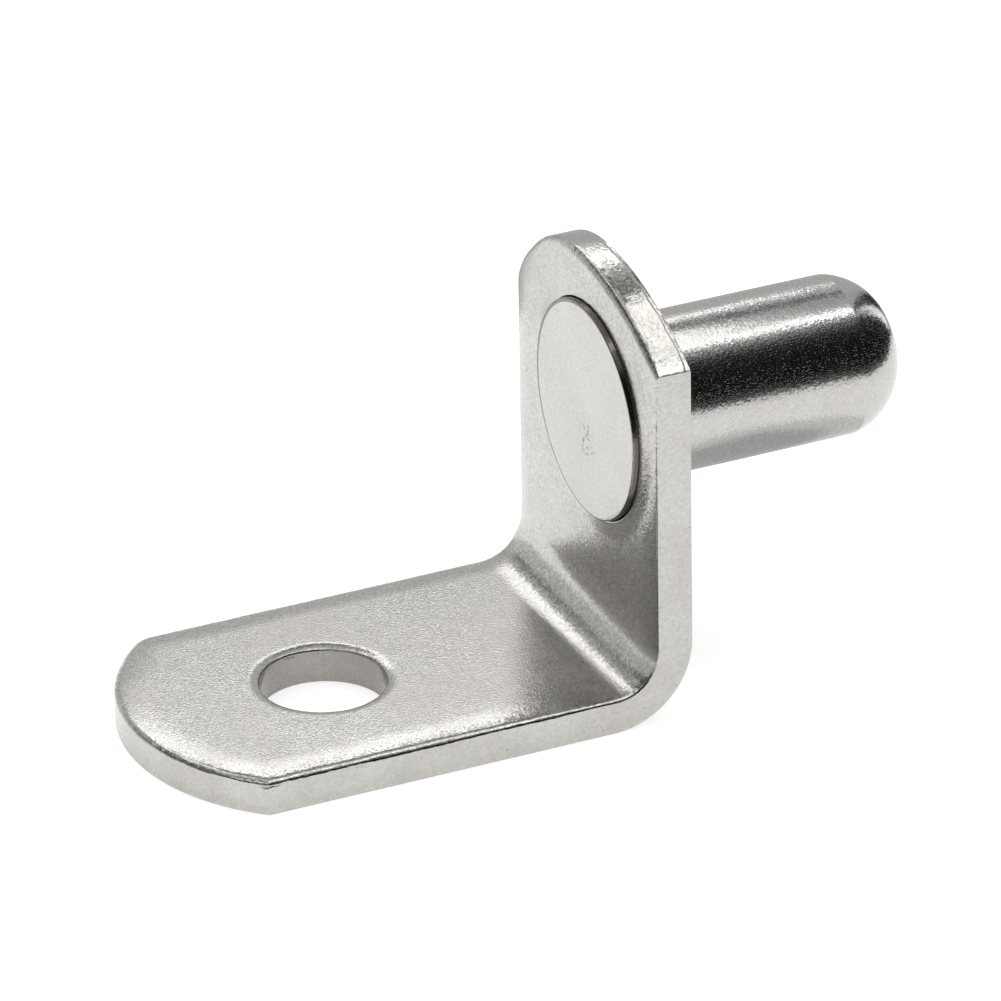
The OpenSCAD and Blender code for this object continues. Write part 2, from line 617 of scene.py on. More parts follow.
@dataclass(frozen=True)
class Ripple:
    """Uneven line of given pitch that closes on itself along an edge."""

    pitch: float
    seed: int
    sharpness: float = 1.0

    def along(self, travel: np.ndarray, length: float) -> np.ndarray:
        """Value at each place on the edge.

        Args:
            travel: Distances along the closed edge.
            length: Length of the edge.

        Returns:
            Values from -1 to 1.
        """
        count = max(4, round(length / self.pitch))
        knots = np.random.RandomState(self.seed).uniform(-1, 1, count)
        place = (travel / length) * count
        low = np.floor(place).astype(int)
        share = smooth(place - low)
        value = knots[low % count] * (1 - share) + knots[(low + 1) % count] * share
        return np.sign(value) * np.abs(value) ** self.sharpness


@dataclass(frozen=True)
class EdgeLoop:
    """Closed edge of the flat blank, with the steel on its left."""

    points: np.ndarray
    inward: np.ndarray
    travel: np.ndarray
    length: float
    corners: tuple[float, ...] = ()
    """Distances along the edge at which it turns a corner."""
    distance: Callable[[np.ndarray], np.ndarray] | None = None
    """Gives the distance of places from the edge, for an edge with corners."""

    def at(self, depth: float | np.ndarray) -> np.ndarray:
        """The edge moved into the steel, with points that would cross at a corner drawn together.

        Args:
            depth: How far, in millimetres.

        Returns:
            Points in the plane of the blank.
        """
        moved = self.points + self.inward * np.reshape(depth, (-1, 1))
        if self.distance is None:
            return moved
        index = np.arange(len(moved))
        good = self.distance(moved) > depth - 0.001
        columns = [np.interp(index, index[good], moved[good, n], period=len(moved)) for n in (0, 1)]
        return np.stack(columns, 1)

    def near_corner(self, reach: float) -> np.ndarray:
        """How near each point is to a corner.

        Args:
            reach: Distance over which the value falls away.

        Returns:
            1 at a corner and 0 far from one.
        """
        value = np.zeros(len(self.travel))
        for corner in self.corners:
            gap = np.abs(self.travel - corner)
            gap = np.minimum(gap, self.length - gap)
            value = np.maximum(value, np.exp(-((gap / reach) ** 2)))
        return value

    def waver(self, base: float | np.ndarray, *ripples: tuple[float, Ripple]) -> np.ndarray:
        """A value that wanders along the edge, by uneven lines of given height that are added to its base."""
        return sum((height * ripple.along(self.travel, self.length) for height, ripple in ripples), base)


@dataclass(frozen=True)
class Arc:
    """Arc of an edge from one angle to another, anticlockwise when turn is 1 and clockwise when it is -1."""

    centre: Spot
    radius: float
    start: float
    end: float
    turn: int = 1

    def laid(self, step: float) -> tuple[np.ndarray, np.ndarray]:
        """Points along the arc, without its last one.

        Args:
            step: Distance between points.

        Returns:
            The points and the directions into the steel.
        """
        count = max(3, math.ceil(abs(self.end - self.start) * self.radius / step))
        angle = np.linspace(self.start, self.end, count, endpoint=False)
        out = np.stack([np.cos(angle), np.sin(angle)], 1)
        return np.array(self.centre) + self.radius * out, -out * self.turn


@dataclass(frozen=True)
class Run:
    """Straight part of an edge."""

    start: Spot
    end: Spot

    def laid(self, step: float) -> tuple[np.ndarray, np.ndarray]:
        """Points along the line, without its last one.

        Args:
            step: Distance between points.

        Returns:
            The points and the directions into the steel.
        """
        a, b = np.array(self.start), np.array(self.end)
        span = float(np.linalg.norm(b - a))
        count = max(2, math.ceil(span / step))
        share = np.linspace(0, 1, count, endpoint=False)[:, None]
        left = np.array([-(b - a)[1], (b - a)[0]]) / span
        return a + (b - a) * share, np.repeat(left[None], count, 0)


def closed_loop(
    parts: Sequence[Arc | Run],
    step: float,
    corner_radius: float = 0.0,
    distance: Callable[[np.ndarray], np.ndarray] | None = None,
) -> EdgeLoop:
    """Joins arcs and straight runs into one closed edge.

    Args:
        parts: The parts in order.
        step: Distance between points.
        corner_radius: Radius up to which an arc counts as a corner.
        distance: Gives the distance of places from the edge, for an edge with corners.

    Returns:
        The edge.
    """
    laid = [part.laid(step) for part in parts]
    points = np.concatenate([p for p, _ in laid])
    inward = np.concatenate([n for _, n in laid])
    gaps = np.linalg.norm(np.roll(points, -1, 0) - points, axis=1)
    travel = np.concatenate([[0.0], np.cumsum(gaps)[:-1]])
    starts = np.cumsum([0] + [len(p) for p, _ in laid])
    corners = tuple(
        float(travel[(a + b) // 2])
        for part, a, b in zip(parts, starts[:-1], starts[1:])
        if isinstance(part, Arc) and part.radius <= corner_radius
    )
    return EdgeLoop(points, inward, travel, float(gaps.sum()), corners, distance)


@dataclass(frozen=True)
class RolledEdge:
    """Edge that the blanking die draws down: a long slope, a steeper lip, a tight corner and a sheared wall.

    Sizes in millimetres.
    """

    slope_depth: float
    """Depth of the long slope on the strip's -Y side."""
    far_depth: float
    """Its depth on the +Y side."""
    slope_width: float
    lip_depth: float
    lip_width: float
    corner: float
    unevenness: float
    """Share by which the lip's depth wanders."""
    seam_depth: float
    """Depth of the torn seam between the lip and the wall."""
    fracture: float
    """Share of the wall's height, from the outer face up, that broke instead of being cut."""
    burr: float
    """Bevel left at the outer face."""
    upright_share: float = 1.0
    """Share of the lip that is left past the bend."""
    crown_share: float = 1.0
    """Share of it on the crown."""
    bend_gain: float = 0.0
    """Share by which it is deeper where the bend has squeezed it."""
    tip_gain: float = 0.0
    """Share by which it is wider at the leg's tip."""

    # Distances from the edge at which the face gets a ring.
    FACE_RINGS = (0.006, 0.014, 0.024, 0.036, 0.05, 0.07, 0.10, 0.14, 0.19, 0.25, 0.31, 0.38, 0.46)
    # Start and length, along the blank, of the change from leg to upright and of that to the crown.
    UPRIGHT_STARTS, CROWN_STARTS = (-1.0, 2.0), (14.3, 0.8)
    # Distance of the leg's tip from the bend, and the length over which the lip widens there.
    TIP_STARTS = (17.2, 0.6)
    # Middle and reach, along the blank, of the part that the bend has squeezed.
    SQUEEZE_MIDDLE, SQUEEZE_REACH = -2.0, 4.5
    # Height and form of the uneven lines that each measure follows.
    WANDER = ((0.6, Ripple(0.55, 11)), (0.5, Ripple(0.17, 12, 1.5)))
    SEAM_WANDER = ((0.022, Ripple(0.22, 21, 1.3)), (0.02, Ripple(0.8, 22)))
    CRACK_WANDER = ((0.05, Ripple(0.5, 26)), (0.02, Ripple(0.16, 27)))
    ROUGHNESS = (0.004, Ripple(0.15, 28))
    # The seam is torn open where both of these are above 0.
    TEARS = (Ripple(0.31, 23, 0.8), Ripple(1.9, 24))
    # How much deeper a tear and an outline's corner on the leg make the seam, and how far round a corner.
    TEAR_GAIN, CORNER_GAIN, CORNER_REACH = 1.4, 2.0, 0.28
    # Place of the seam under the wall's upper end, its half width, and what a tear or a corner adds to that.
    SEAM_DROP, SEAM_WIDTH, SEAM_GAIN = 0.05, 0.016, 0.03
    # Rows round the torn seam: how many seam widths each lies over it, how far more in millimetres, and its
    # share of the seam's depth.
    SEAM_ROWS = (
        (1.0, 0.0, 0.0),
        (0.6, 0.0, 0.45),
        (0.0, 0.0, 1.0),
        (-0.9, 0.0, 0.5),
        (-1.0, -0.07, 0.12),
        (-1.0, -0.13, 0.0),
    )
    # The sheared band starts this far under the wall's upper end, and has rows at these shares of its height.
    SHEAR_START, SHEAR_ROWS = 0.26, (0.75, 0.5, 0.25, 0.08)
    # How far the broken band stands back from the sheared one.
    BREAK_DEPTH = 0.012

    def slope(self, depth: np.ndarray, across: np.ndarray) -> np.ndarray:
        """How far the face has dropped on the long slope.

        Args:
            depth: Distance from the edge.
            across: Place across the strip, from -1 at its -Y side to 1 at its +Y side.

        Returns:
            The drop.
        """
        share = smooth(np.clip(0.5 + 0.5 * across, 0, 1))
        most = self.slope_depth + (self.far_depth - self.slope_depth) * share
        return most * np.clip(1 - depth / self.slope_width, 0, 1) ** 2

    def lip(self, edge: EdgeLoop) -> np.ndarray:
        """Depth of the lip along the edge.

        Args:
            edge: The edge.

        Returns:
            Its depth at each point.
        """
        along = edge.points[:, 0]
        wander = edge.waver(0.0, *self.WANDER)
        upright, crown = rise(along, *self.UPRIGHT_STARTS), rise(along, *self.CROWN_STARTS)
        share = 1 - upright * (1 - self.upright_share) + crown * (self.crown_share - self.upright_share)
        squeeze = np.exp(-(((along - self.SQUEEZE_MIDDLE) / self.SQUEEZE_REACH) ** 2))
        return self.lip_depth * (1 + self.unevenness * wander) * share * (1 + self.bend_gain * squeeze)

    def spread(self, edge: EdgeLoop) -> np.ndarray:
        """How much wider the lip is at the leg's tip than along the sides, at each point of the edge."""
        return 1 + self.tip_gain * rise(-edge.points[:, 0], *self.TIP_STARTS)

    def drop(self, depth: float, lip: np.ndarray, spread: np.ndarray, across: np.ndarray) -> np.ndarray:
        """How far the face has dropped.

        Args:
            depth: Distance from the edge.
            lip: Depth of the lip at each point of the edge.
            spread: How much wider than usual the lip is there.
            across: Place of each point across the strip, from -1 to 1.

        Returns:
            The drop at each point.
        """
        width = self.lip_width * spread * np.sqrt(lip / self.lip_depth)
        short = max(self.corner - depth, 0.0)
        turn = self.corner - math.sqrt(self.corner**2 - short**2)
        slope = self.slope(np.full(len(lip), depth), across)
        return slope + lip * np.clip(1 - depth / width, 0, 1) ** 2 + turn

    def wall_rows(self, edge: EdgeLoop, top: np.ndarray) -> list[tuple[np.ndarray, np.ndarray]]:
        """Rows of the wall, from the shoulder down.

        Args:
            edge: The edge.
            top: Height of the wall's upper end over the outer face, at each point.

        Returns:
            For each row, its height over the outer face and its depth in the steel.
        """
        still = np.zeros(len(edge.travel))
        corner = edge.near_corner(self.CORNER_REACH) * (edge.points[:, 0] < 0)
        seam = top - edge.waver(self.SEAM_DROP, *self.SEAM_WANDER)
        tear = math.prod(ripple.along(edge.travel, edge.length).clip(0, 1) for ripple in self.TEARS)
        reach = self.seam_depth * (self.TEAR_GAIN * tear + self.CORNER_GAIN * corner)
        width = self.SEAM_WIDTH + self.SEAM_GAIN * tear + self.SEAM_GAIN * corner
        broken = self.fracture * (1 - 0.5 * rise(edge.points[:, 0], *self.UPRIGHT_STARTS))
        crack = edge.waver(top * broken, *self.CRACK_WANDER)
        rough = edge.waver(0.0, self.ROUGHNESS)
        rows = [(seam + lift + over * width, reach * share) for over, lift, share in self.SEAM_ROWS]
        rows += [(crack + (top - self.SHEAR_START - crack) * share, still) for share in self.SHEAR_ROWS]
        rows += [
            (crack + self.BREAK_DEPTH, still),
            (crack - self.BREAK_DEPTH, still + 0.010),
            (crack * 0.66, self.BREAK_DEPTH + rough),
            (crack * 0.38, self.BREAK_DEPTH - rough),
            (still + self.burr * 2.2, 0.008 + rough),
            (still + self.burr, still + self.burr * 0.1),
            (still + self.burr * 0.4, still + self.burr * 0.3),
        ]
        return rows


# -----------------------------------------------------------------------------
# Mesh work
# -----------------------------------------------------------------------------


class Shell:
    """Vertices and faces of a closed sheet of metal while it is laid out ring by ring."""

    def __init__(self) -> None:
        """Starts empty."""
        self.points: list[np.ndarray] = []
        self.count = 0
        self.faces: list[list[int]] = []
        self.sheared: list[bool] = []

    def ring(self, plan: np.ndarray, height: float | np.ndarray) -> np.ndarray:
        """Adds vertices.

        Args:
            plan: Their places in the plane of the blank.
            height: Their height over the outer face.

        Returns:
            Their numbers.
        """
        level = np.broadcast_to(height, (len(plan),))
        self.points.append(np.column_stack([plan, level]))
        numbers = np.arange(self.count, self.count + len(plan))
        self.count += len(plan)
        return numbers

    def add(self, faces: np.ndarray, sheared: bool) -> None:
        """Adds faces, given by the numbers of their vertices."""
        self.faces += faces.tolist()
        self.sheared += [sheared] * len(faces)

    def bridge(self, first: np.ndarray, second: np.ndarray, sheared: bool) -> None:
        """Joins a closed ring with four-sided faces to a second one that lies on its left."""
        ahead_first, ahead_second = np.roll(first, -1), np.roll(second, -1)
        self.add(np.stack([first, ahead_first, ahead_second, second], 1), sheared)

    def fill(
        self,
        rims: Sequence[tuple[np.ndarray, np.ndarray]],
        loose: np.ndarray,
        height: Callable[[np.ndarray], np.ndarray],
        face_up: bool,
    ) -> None:
        """Fills the space between closed rims with triangles.

        Args:
            rims: For each rim, its places in the plane and its vertex numbers, with the steel on its left.
            loose: Places of the extra vertices between them.
            height: Gives the height of a place over the outer face.
            face_up: Whether the faces look away from the outer face.
        """
        plan = np.concatenate([p for p, _ in rims] + [loose]).astype(np.float32).astype(float)
        owner = np.repeat([*range(len(rims)), -1], [*(len(p) for p, _ in rims), len(loose)])
        borders, start = [], 0
        for places, _ in rims:
            span = np.arange(start, start + len(places))
            borders += list(zip(span.tolist(), np.roll(span, -1).tolist()))
            start += len(places)
        numbers = np.concatenate([n for _, n in rims] + [self.ring(loose, height(loose))])
        made = delaunay_2d_cdt([Vector(p) for p in plan], borders, [], 0, 1e-7)
        lookup = np.array([o[0] if o else -1 for o in made[3]])
        corners = lookup[np.array(made[2])]
        corners = corners[corners.min(1) >= 0]
        one_rim = (owner[corners[:, 0]] >= 0) & (owner[corners].max(1) == owner[corners].min(1))
        a, b, c = (plan[np.sort(corners, 1)[:, n]] for n in (0, 1, 2))
        turn = (b - a)[:, 0] * (c - a)[:, 1] - (b - a)[:, 1] * (c - a)[:, 0]
        kept = corners[~(one_rim & (turn <= 0))]
        self.add(numbers[kept if face_up else kept[:, ::-1]], False)

    def mesh(self, name: str) -> bpy.types.Mesh:
        """Makes the mesh, in metres, with its sheared faces marked.

        Args:
            name: Name of the mesh.

        Returns:
            The new mesh.
        """
        made = bpy.data.meshes.new(name)
        made.from_pydata((np.concatenate(self.points) * MM).tolist(), [], self.faces)
        made.attributes.new("sheared", "BOOLEAN", "FACE").data.foreach_set("value", self.sheared)
        return made


def new_object(name: str, mesh: bpy.types.Mesh) -> bpy.types.Object:
    """Puts a mesh in the scene as an object at the origin.

    Args:
        name: The object's name.
        mesh: Its mesh.

    Returns:
        The object.
    """
    made = bpy.data.objects.new(name, mesh)
    bpy.context.scene.collection.objects.link(made)
    return made


def settle_modifiers(piece: bpy.types.Object) -> None:
    """Turns the result of a piece's modifiers into its own plain mesh, closed and with its faces outwards.

    Args:
        piece: The object.
    """
    graph = bpy.context.evaluated_depsgraph_get()
    mesh = bpy.data.meshes.new_from_object(
        piece.evaluated_get(graph), preserve_all_data_layers=True, depsgraph=graph
    )
    piece.modifiers.clear()
    piece.data = mesh
    work = bmesh.new()
    work.from_mesh(mesh)
    bmesh.ops.remove_doubles(work, verts=work.verts, dist=1e-8)
    bmesh.ops.recalc_face_normals(work, faces=work.faces)
    work.to_mesh(mesh)
    work.free()
    mesh.shade_smooth()


class Workshop:
    """Builds one Geometry Nodes tree with named inputs, and runs it on a piece."""

    def __init__(self, name: str) -> None:
        """Starts a tree that takes a mesh and gives one back.

        Args:
            name: Name of the tree.
        """
        self.tree = bpy.data.node_groups.new(name, "GeometryNodeTree")
        self.tree.interface.new_socket("Geometry", in_out="OUTPUT", socket_type="NodeSocketGeometry")
        self.tree.interface.new_socket("Geometry", in_out="INPUT", socket_type="NodeSocketGeometry")
        self.values: dict[str, tuple[str, Any]] = {}
        self.desk = Desk(self.tree)

    def dial(self, name: str, kind: str, value: Any) -> None:
        """Adds a named input of a socket type, and keeps the value that the piece sets it to."""
        socket = self.tree.interface.new_socket(name, in_out="INPUT", socket_type=kind)
        self.values[name] = (socket.identifier, value)

    def inputs(self) -> bpy.types.Node:
        """Adds the node that gives the tree's inputs."""
        return self.desk.node("NodeGroupInput")

    def finish(self, geometry: Any, plating: Any, edge_plating: Any | None = None) -> None:
        """Ends the tree.

        Args:
            geometry: The shape, as a socket.
            plating: Material of the whole piece, as a socket.
            edge_plating: Material of its sheared faces, as a socket, where it has any.
        """
        desk = self.desk
        real = desk.node("GeometryNodeRealizeInstances", {"Geometry": geometry})
        dressed = desk.node("GeometryNodeSetMaterial", {"Geometry": real.outputs[0], "Material": plating})
        if edge_plating is not None:
            marked = desk.node("GeometryNodeInputNamedAttribute", {"Name": "sheared"}, data_type="BOOLEAN")
            edges = {"Geometry": dressed.outputs[0], "Selection": marked.outputs[0], "Material": edge_plating}
            dressed = desk.node("GeometryNodeSetMaterial", edges)
        desk.node("NodeGroupOutput", {0: dressed.outputs[0]})

    def run_on(self, piece: bpy.types.Object) -> None:
        """Runs the tree on a piece and keeps only its result.

        Args:
            piece: The object.
        """
        modifier = piece.modifiers.new(self.tree.name, "NODES")
        modifier.node_group = self.tree
        for identifier, value in self.values.values():
            modifier[identifier] = value
        settle_modifiers(piece)


# -----------------------------------------------------------------------------
# Bracket
# -----------------------------------------------------------------------------


RIM = RolledEdge(
    slope_depth=0.095,
    far_depth=0.2,
    slope_width=1.4,
    lip_depth=0.12,
    lip_width=0.26,
    corner=0.045,
    unevenness=0.26,
    seam_depth=0.03,
    fracture=0.28,
    burr=0.025,
    upright_share=0.3,
    crown_share=1.3,
    bend_gain=-0.3,
    tip_gain=0.1,
)
SCREW_RIM = RolledEdge(
    slope_depth=0.0,
    far_depth=0.0,
    slope_width=0.5,
    lip_depth=0.12,
    lip_width=0.42,
    corner=0.05,
    unevenness=0.12,
    seam_depth=0.018,
    fracture=0.24,
    burr=0.02,
)
SEAT_RIM = RolledEdge(
    slope_depth=0.0,
    far_depth=0.0,
    slope_width=0.5,
    lip_depth=0.01,
    lip_width=0.1,
    corner=0.03,
    unevenness=0.0,
    seam_depth=0.0,
    fracture=0.2,
    burr=0.02,
)


@dataclass
class Bracket:
    """The stamped strip: blanked flat with rolled edges, punched, and folded. Sizes in millimetres."""

    thickness: float = STRIP_THICKNESS
    inner_radius: float = 1.65
    outer_radius: float = 3.3
    leg_radius: float = 8.3
    crown_left: float = 6.0
    crown_right: float = 13.5
    crown_shift: float = 0.9
    leg_corners: tuple[float, float] = (0.25, 1.2)
    crown_corners: tuple[float, float] = (0.03, 1.3)
    """Radii of the outline's corners on the -Y and on the +Y side."""
    collar_height: float = 0.11
    collar_width: float = 0.8
    collar_flank: float = 0.05
    """Width of the collar's steep side, next to the head."""
    screw_radius: float = SCREW_RADIUS
    seat_radius: float = 3.34
    head_radius: float = HEAD_RADIUS
    step: float = 0.07
    """Distance between vertices along the edges."""
    rim: RolledEdge = RIM
    screw_rim: RolledEdge = SCREW_RIM
    seat_rim: RolledEdge = SEAT_RIM
    half_width: float = field(init=False)
    leg_length: float = field(init=False)
    height: float = field(init=False)
    origin: Vector = field(init=False)
    screw: Spot = field(init=False)
    """Middle of the screw hole in the blank."""
    seat: Spot = field(init=False)
    """Middle of the pin's hole in the blank."""

    # Distance from the edge at which the outer face's triangles begin.
    OUTER_RIM = 0.12
    # Least distance of loose vertices from an edge, on the inner and on the outer face.
    TOP_CLEAR, LOW_CLEAR = max(RolledEdge.FACE_RINGS) + 0.08, 0.3
    # Distances from the outer edge at which each face gets a ring of its own.
    TOP_ROUNDS, LOW_ROUNDS = (0.6, 0.78, 1.0, 1.25, 1.5), (0.5,)
    # Distances between the loose vertices along the strip, and their count across it, in the bend and off it.
    BEND_STEP, FLAT_STEP = 0.11, 0.55
    BEND_COUNT, FLAT_COUNT = 22, 20
    # Distances from the screw hole and from the head at which the faces get a ring.
    SCREW_ROUNDS = (0.58, 0.75, 0.95)
    COLLAR_ROUNDS = (-0.08, 0.0, 0.015, 0.035, 0.05, 0.07, 0.1, 0.17, 0.25, 0.35, 0.45, 0.56, 0.68, 0.82)

    def __post_init__(self) -> None:
        """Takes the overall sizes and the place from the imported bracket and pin."""
        low, high = BRACKET_LOW, BRACKET_HIGH
        self.half_width = (high.y - low.y) / 2 / MM
        self.leg_length = (high.x - low.x) / MM
        self.height = (high.z - low.z) / MM
        self.origin = Vector((high.x, (high.y + low.y) / 2, low.z))
        pin_height = (PIN_HIGH.z + PIN_LOW.z) / 2 - low.z
        pin_shift = (PIN_HIGH.y + PIN_LOW.y) / 2 - self.origin.y
        self.screw = (-SCREW_DISTANCE, 0.0)
        self.seat = (pin_height / MM, pin_shift / MM)

    def build(self) -> bpy.types.Object:
        """Makes the bracket's object, folded and in place.

        Returns:
            The object.
        """
        piece = new_object("stamped_bracket", self.blank().mesh("stamped_bracket"))
        self.fold(piece)
        return piece

    def dress(self, piece: bpy.types.Object) -> None:
        """Sets the piece on its body.

        Args:
            piece: The bracket's object.
        """
        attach(piece, "root")
        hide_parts(Cad.BRACKET.value)

    def outline(self) -> EdgeLoop:
        """Draws the blank's outer edge.

        Returns:
            The edge, with the leg's tip at -X and the crown at +X.
        """
        h, leg = self.half_width, (-self.leg_length + self.leg_radius, 0.0)
        near = (self.height - self.crown_right, self.crown_shift)
        far = (self.height - self.crown_left, self.crown_shift)
        leg_near = self.corner(leg, self.leg_radius, self.leg_corners[0], -1, -1)
        crown_near = self.corner(near, self.crown_right, self.crown_corners[0], 1, -1)
        crown_far = self.corner(far, self.crown_left, self.crown_corners[1], 1, 1)
        leg_far = self.corner(leg, self.leg_radius, self.leg_corners[1], -1, 1)
        return closed_loop(
            [
                Run((leg_near.centre[0], -h), (crown_near.centre[0], -h)),
                crown_near,
                Arc(near, self.crown_right, crown_near.end, 0.0),
                Arc(far, self.crown_left, 0.0, crown_far.start),
                crown_far,
                Run((crown_far.centre[0], h), (leg_far.centre[0], h)),
                leg_far,
                Arc(leg, self.leg_radius, leg_far.end, 2 * HALF_TURN + leg_near.start),
                leg_near,
            ],
            self.step,
            max(self.leg_corners),
            self.edge_distance,
        )

    def corner(self, centre: Spot, radius: float, rounding: float, end: int, side: int) -> Arc:
        """Rounded corner between one of the strip's sides and the arc of one of its ends.

        Args:
            centre: Middle of the end's arc.
            radius: Radius of the end's arc.
            rounding: Radius of the corner.
            end: 1 at the crown, -1 at the leg's tip.
            side: 1 at the +Y side, -1 at the -Y side.

        Returns:
            The corner, anticlockwise.
        """
        level = side * (self.half_width - rounding)
        along = centre[0] + end * math.sqrt((radius - rounding) ** 2 - (level - centre[1]) ** 2)
        turned = math.atan2(level - centre[1], along - centre[0])
        straight = side * RIGHT_ANGLE
        first, last = (straight, turned) if end * side < 0 else (turned, straight)
        if last < first:
            last += 2 * HALF_TURN
        return Arc((along, level), rounding, first, last)

    def hole(self, centre: Spot, radius: float) -> EdgeLoop:
        """Edge of a round hole in the blank."""
        return closed_loop([Arc(centre, radius, HALF_TURN, -HALF_TURN, -1)], self.step)

    def edge_distance(self, plan: np.ndarray) -> np.ndarray:
        """Distance of places in the blank from its outer edge, away from its corners.

        Args:
            plan: The places.

        Returns:
            The distances, less than 0 off the steel.
        """
        x, y = plan[:, 0], plan[:, 1]
        sides = self.half_width - np.abs(y)
        leg_x = -self.leg_length + self.leg_radius
        leg = np.where(x < leg_x, self.leg_radius - np.hypot(x - leg_x, y), np.inf)
        radius = np.where(y > self.crown_shift, self.crown_left, self.crown_right)
        crown_x = self.height - radius
        crown = np.where(x > crown_x, radius - np.hypot(x - crown_x, y - self.crown_shift), np.inf)
        return np.minimum(sides, np.minimum(leg, crown))

    def blank(self) -> Shell:
        """Lays out the flat blank. X runs along the strip from the bend, and Z is height over the outer face.

        Returns:
            The shell.
        """
        shell = Shell()
        edges = [
            (self.outline(), self.rim),
            (self.hole(self.screw, self.screw_radius), self.screw_rim),
            (self.hole(self.seat, self.seat_radius), self.seat_rim),
        ]
        top_rims, low_rims = [], []
        for edge, form in edges:
            top, low = self.lay_edge(shell, edge, form)
            top_rims.append(top)
            low_rims.append(low)
        shell.fill(top_rims, self.loose_places(self.TOP_CLEAR, self.TOP_ROUNDS), self.top_height, True)
        low = self.loose_places(self.LOW_CLEAR, self.LOW_ROUNDS)
        shell.fill(low_rims, low, lambda plan: np.zeros(len(plan)), False)
        return shell

    def top_height(self, plan: np.ndarray) -> np.ndarray:
        """Height of the inner face, with the low collar that the pin's head has pressed up round itself.

        Args:
            plan: Places in the blank.

        Returns:
            Their height over the outer face.
        """
        off_head = off_circle(plan, self.seat, self.head_radius)
        fall = np.clip(1 - off_head / self.collar_width, 0, 1) ** 1.3
        collar = self.collar_height * rise(off_head, 0.0, self.collar_flank) * fall
        roll = self.rim.slope(self.edge_distance(plan), plan[:, 1] / self.half_width)
        return self.thickness - roll + collar

    def lay_edge(
        self, shell: Shell, edge: EdgeLoop, form: RolledEdge
    ) -> tuple[tuple[np.ndarray, np.ndarray], tuple[np.ndarray, np.ndarray]]:
        """Lays out the rings round one edge, from the inner face over the wall to the outer face.

        Args:
            shell: The shell that takes them.
            edge: The edge.
            form: Its shape.

        Returns:
            The innermost ring on the inner face and on the outer face, each as places and numbers.
        """
        lip, spread, across = form.lip(edge), form.spread(edge), edge.points[:, 1] / self.half_width
        rows = [
            (self.thickness - form.drop(depth, lip, spread, across), depth, False)
            for depth in (*reversed(form.FACE_RINGS), 0.0)
        ]
        rows += [(height, depth, True) for height, depth in form.wall_rows(edge, rows[-1][0])]
        rows += [(0.0, depth, False) for depth in (form.burr, form.burr + 0.02, self.OUTER_RIM)]
        rings = []
        for height, depth, sheared in rows:
            plan = edge.at(depth)
            rings.append((plan, shell.ring(plan, height)))
            if len(rings) > 1:
                shell.bridge(rings[-1][1], rings[-2][1], sheared)
        return rings[0], rings[-1]

    def loose_places(self, clear: float, rings: Sequence[float]) -> np.ndarray:
        """Places of the vertices that fill a face between its edges.

        Args:
            clear: Least distance from every edge.
            rings: Distances from the outer edge that get a ring of their own.

        Returns:
            The places.
        """
        edge = self.outline()
        wide = self.half_width - rings[-1] - 0.1
        places = []
        for depth in rings:
            ring = edge.at(depth)
            exact = np.abs(self.edge_distance(ring) - depth) < 0.004
            bent = np.abs(ring[:, 0]) < self.outer_radius + 0.1
            every = np.arange(len(ring)) % 4 == 0
            places.append(ring[exact & (bent | every)])
        bend = np.arange(-self.outer_radius, self.outer_radius + 0.05, self.BEND_STEP)
        places.append(lattice(bend, np.linspace(-wide, wide, self.BEND_COUNT)))
        leg = np.arange(-self.leg_length + 1, -self.outer_radius - 0.3, self.FLAT_STEP)
        upright = np.arange(self.outer_radius + 0.3, self.height - 1, self.FLAT_STEP)
        flat = lattice(np.concatenate([leg, upright]), np.linspace(-wide, wide, self.FLAT_COUNT))
        off_head = off_circle(flat, self.seat, self.head_radius)
        off_collar = (off_head < -0.2) | (off_head > 0.9)
        places.append(flat[(self.edge_distance(flat) > rings[-1] + 0.2) & off_collar])
        rounds = [(self.screw, self.screw_radius + depth, 0.16) for depth in self.SCREW_ROUNDS]
        rounds += [(self.seat, self.head_radius + depth, 0.1) for depth in self.COLLAR_ROUNDS]
        for centre, radius, step in rounds:
            angle = np.arange(0, 2 * HALF_TURN, step / radius)
            places.append(np.stack([np.cos(angle), np.sin(angle)], 1) * radius + np.array(centre))
        found = np.concatenate(places)
        off_screw = off_circle(found, self.screw, self.screw_radius)
        off_seat = off_circle(found, self.seat, self.seat_radius)
        open_space = np.minimum(self.edge_distance(found), np.minimum(off_screw, off_seat)) > clear
        return np.unique(np.round(found[open_space], 5), axis=0)

